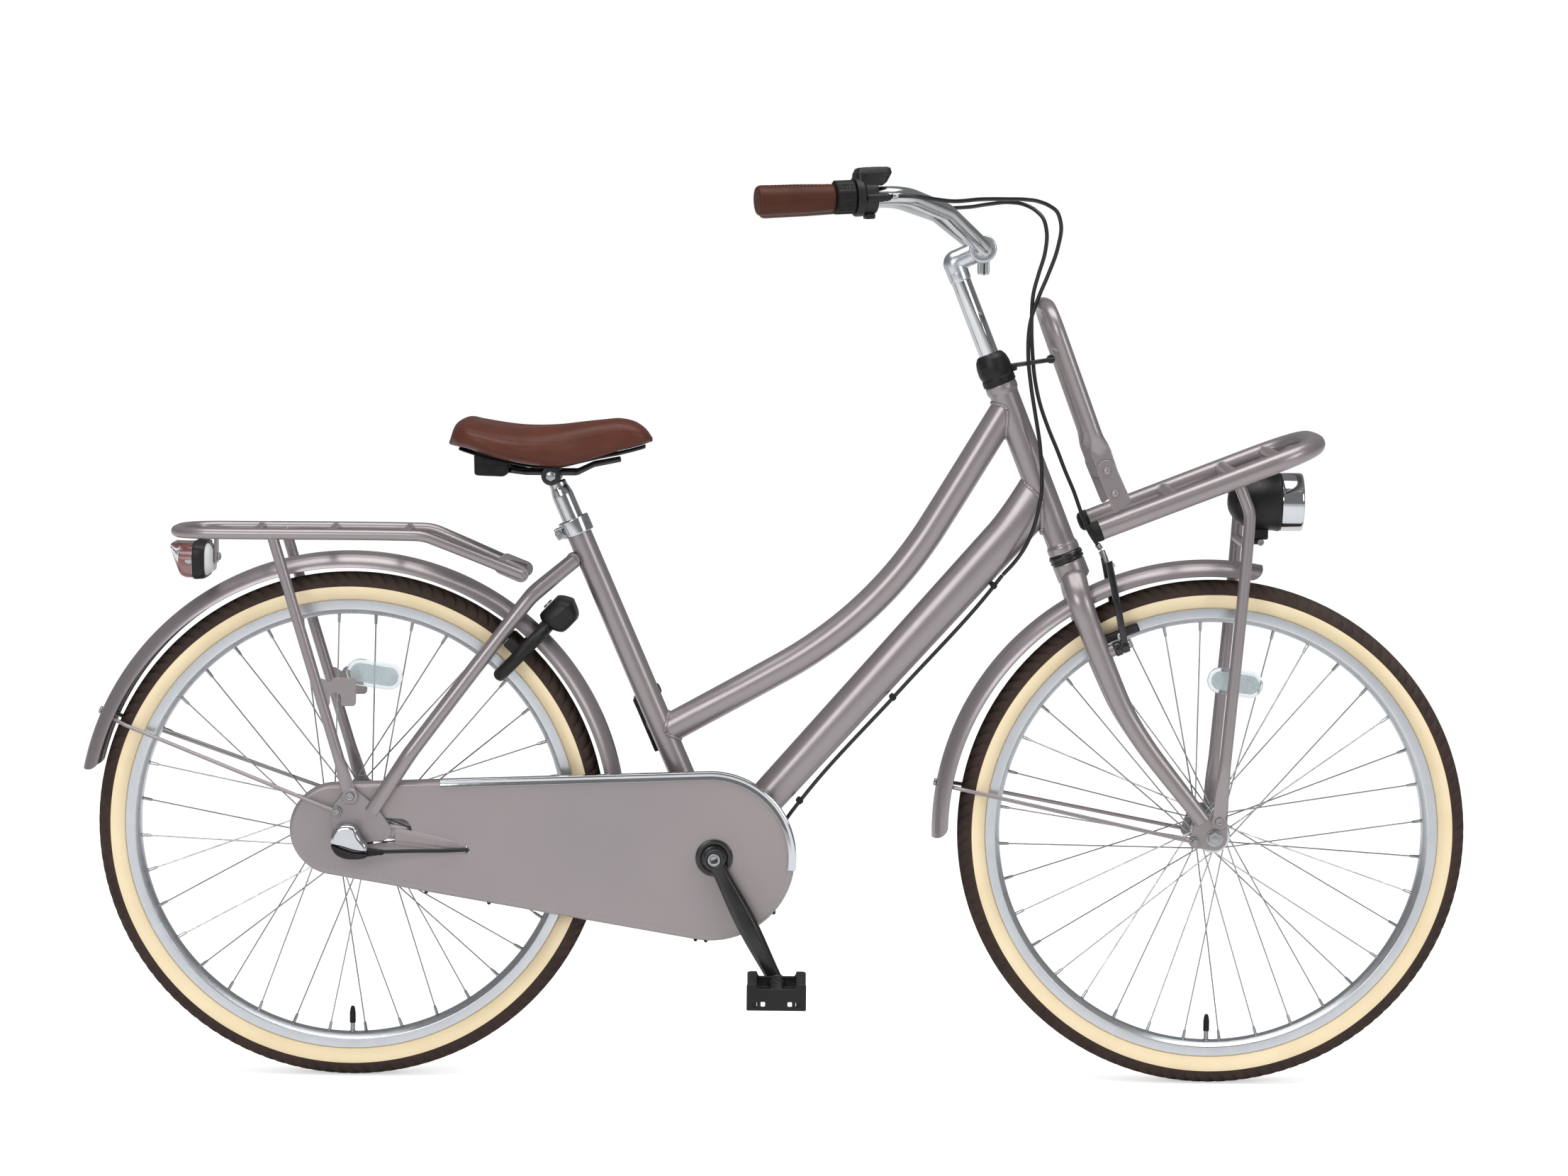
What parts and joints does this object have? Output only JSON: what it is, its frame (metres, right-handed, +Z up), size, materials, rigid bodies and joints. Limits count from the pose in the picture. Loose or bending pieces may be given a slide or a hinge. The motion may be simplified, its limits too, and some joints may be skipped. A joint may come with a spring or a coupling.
{
  "type": "dutch city bike",
  "caption": "Step-through town bicycle with curved top tube, swept handlebar, closed chain case, mudguards, tube front carrier with backrest, rear carrier, lamps and ring lock.",
  "frame": {"origin": "on the ground, centre of the whole bicycle's bounding box seen from above", "axes": "+X to the front wheel, +Y to the rider's left, +Z up"},
  "size_m": [1.7696, 0.639, 1.1666],
  "materials": {
    "paint": "metallic mauve grey paint, glossy",
    "case_paint": "mauve grey, satin gloss",
    "black": "black, satin",
    "black_metal": "black, satin",
    "chrome": "polished",
    "steel": "satin zinc",
    "aluminium": "satin",
    "leather": "brown, stitched, waxed",
    "tyre": "cream sidewalls and dark brown tread",
    "rubber": "matt",
    "red_lens": "clear red",
    "clear_lens": "clear, ribbed"
  },
  "bodies": {
    "frame": {"head_tube": "paint", "top_tube": "paint", "down_tube": "paint", "seat_tube": "paint", "chainstays": "paint", "seatstays": "paint", "seat_clamp": "chrome", "lower_headset": "black_metal", "rear_mudguard": "paint", "rear_mudguard_stay": "paint", "rear_carrier": "paint", "tail_lamp": "black", "tail_lamp_lens": "red_lens", "ring_lock": "black", "chain_case": "case_paint", "chain_case_back": "case_paint", "chain_case_trim": "chrome", "chain": "steel", "gear_selector_box": "steel", "rear_shift_cable": "rubber", "rear_axle": "steel"},
    "lock_bolt": {"ring_lock_bolt": "steel"},
    "seat": {"seat_post": "chrome", "saddle_rails": "black_metal", "saddle_base": "black", "saddle": "leather"},
    "cranks": {"crank_axle": "steel", "right_crank": "black_metal", "left_crank": "black_metal"},
    "pedal_on_right": {"right_pedal": "rubber"},
    "pedal_on_left": {"left_pedal": "rubber"},
    "driven_sprocket": {"rear_sprocket": "steel"},
    "rear_wheel": {"rear_tyre": "tyre", "rear_rim": "aluminium", "rear_hub": "aluminium"},
    "side_stand": {"kickstand": "black_metal"},
    "steering": {"fork": "paint", "headset_cap": "black_metal", "stem": "chrome", "handlebar": "chrome", "right_grip": "leather", "left_grip": "leather", "shifter_housing": "black", "brake_lever_bracket": "black_metal", "front_brake_cable": "rubber", "front_shift_cable": "rubber", "front_mudguard": "paint", "front_mudguard_stay": "paint", "front_carrier": "paint", "carrier_backrest": "paint", "headlamp": "black", "headlamp_lens": "clear_lens", "front_axle": "steel"},
    "twist_sleeve": {"shift_grip": "rubber"},
    "brake_handle": {"brake_lever": "black_metal"},
    "brake_arm_left": {"left_brake_arm": "black_metal"},
    "brake_arm_right": {"right_brake_arm": "black_metal"},
    "front_wheel": {"front_tyre": "tyre", "front_rim": "aluminium", "front_hub": "aluminium"}
  },
  "joints": [
    {"name": "steering_turn", "type": "hinge", "parent": "frame", "child": "steering", "pos_m": [0.36759, -0.01745, 0.68276], "axis": [-0.3697, 0, 0.9291], "range_deg": [-65, 65], "deforming": ["front_shift_cable"]},
    {"name": "front_wheel_spin", "type": "hinge", "parent": "steering", "child": "front_wheel", "pos_m": [0.56009, -0.01745, 0.32476], "axis": [0, 1, 0], "continuous": true},
    {"name": "rear_wheel_spin", "type": "hinge", "parent": "frame", "child": "rear_wheel", "pos_m": [-0.53991, -0.01745, 0.32476], "axis": [0, 1, 0], "continuous": true},
    {"name": "crank_spin", "type": "hinge", "parent": "frame", "child": "cranks", "pos_m": [-0.07491, -0.01745, 0.29376], "axis": [0, 1, 0], "continuous": true},
    {"name": "right_pedal_spin", "type": "hinge", "parent": "cranks", "child": "pedal_on_right", "pos_m": [0.00589, -0.15545, 0.13853], "axis": [0, 1, 0], "continuous": true},
    {"name": "left_pedal_spin", "type": "hinge", "parent": "cranks", "child": "pedal_on_left", "pos_m": [-0.15572, 0.12055, 0.44899], "axis": [0, 1, 0], "continuous": true},
    {"name": "sprocket_spin", "type": "hinge", "parent": "frame", "child": "driven_sprocket", "pos_m": [-0.53991, -0.06245, 0.32476], "axis": [0, 1, 0], "continuous": true},
    {"name": "side_stand_swing", "type": "hinge", "parent": "frame", "child": "side_stand", "pos_m": [-0.14291, 0.02255, 0.27276], "axis": [0, -1, 0], "range_deg": [0, 100]},
    {"name": "lock_bolt_turn", "type": "hinge", "parent": "frame", "child": "lock_bolt", "pos_m": [-0.32249, -0.01745, 0.54991], "axis": [-0.7193, 0, 0.6947], "range_deg": [0, 86], "stiffness_Nm_per_rad": 0.1, "springref_deg": -28.65},
    {"name": "seat_height", "type": "slide", "parent": "frame", "child": "seat", "axis": [-0.3979, 0, 0.9174], "range_m": [-0.03, 0.08]},
    {"name": "shift_twist", "type": "hinge", "parent": "steering", "child": "twist_sleeve", "pos_m": [0.07731, -0.27511, 1.12779], "axis": [0.9641, 0.2604, 0.0526], "range_deg": [0, 75]},
    {"name": "brake_lever_pull", "type": "hinge", "parent": "steering", "child": "brake_handle", "pos_m": [0.11914, 0.25909, 1.12966], "axis": [-0.0508, 0.0137, 0.9986], "range_deg": [0, 15], "stiffness_Nm_per_rad": 0.5, "springref_deg": -11.46},
    {"name": "left_brake_arm_swing", "type": "hinge", "parent": "steering", "child": "brake_arm_left", "pos_m": [0.44309, 0.02355, 0.56776], "axis": [0.9291, 0, 0.3697], "range_deg": [0, 6.5]},
    {"name": "right_brake_arm_swing", "type": "hinge", "parent": "steering", "child": "brake_arm_right", "pos_m": [0.44309, -0.05845, 0.56776], "axis": [0.9291, 0, 0.3697], "range_deg": [-6.5, 0]}
  ],
  "couplings": [
    {"joint": "sprocket_spin", "follows": "crank_spin", "ratio": 2},
    {"joint": "left_brake_arm_swing", "follows": "brake_lever_pull", "ratio": 0.433},
    {"joint": "right_brake_arm_swing", "follows": "brake_lever_pull", "ratio": -0.433}
  ]
}
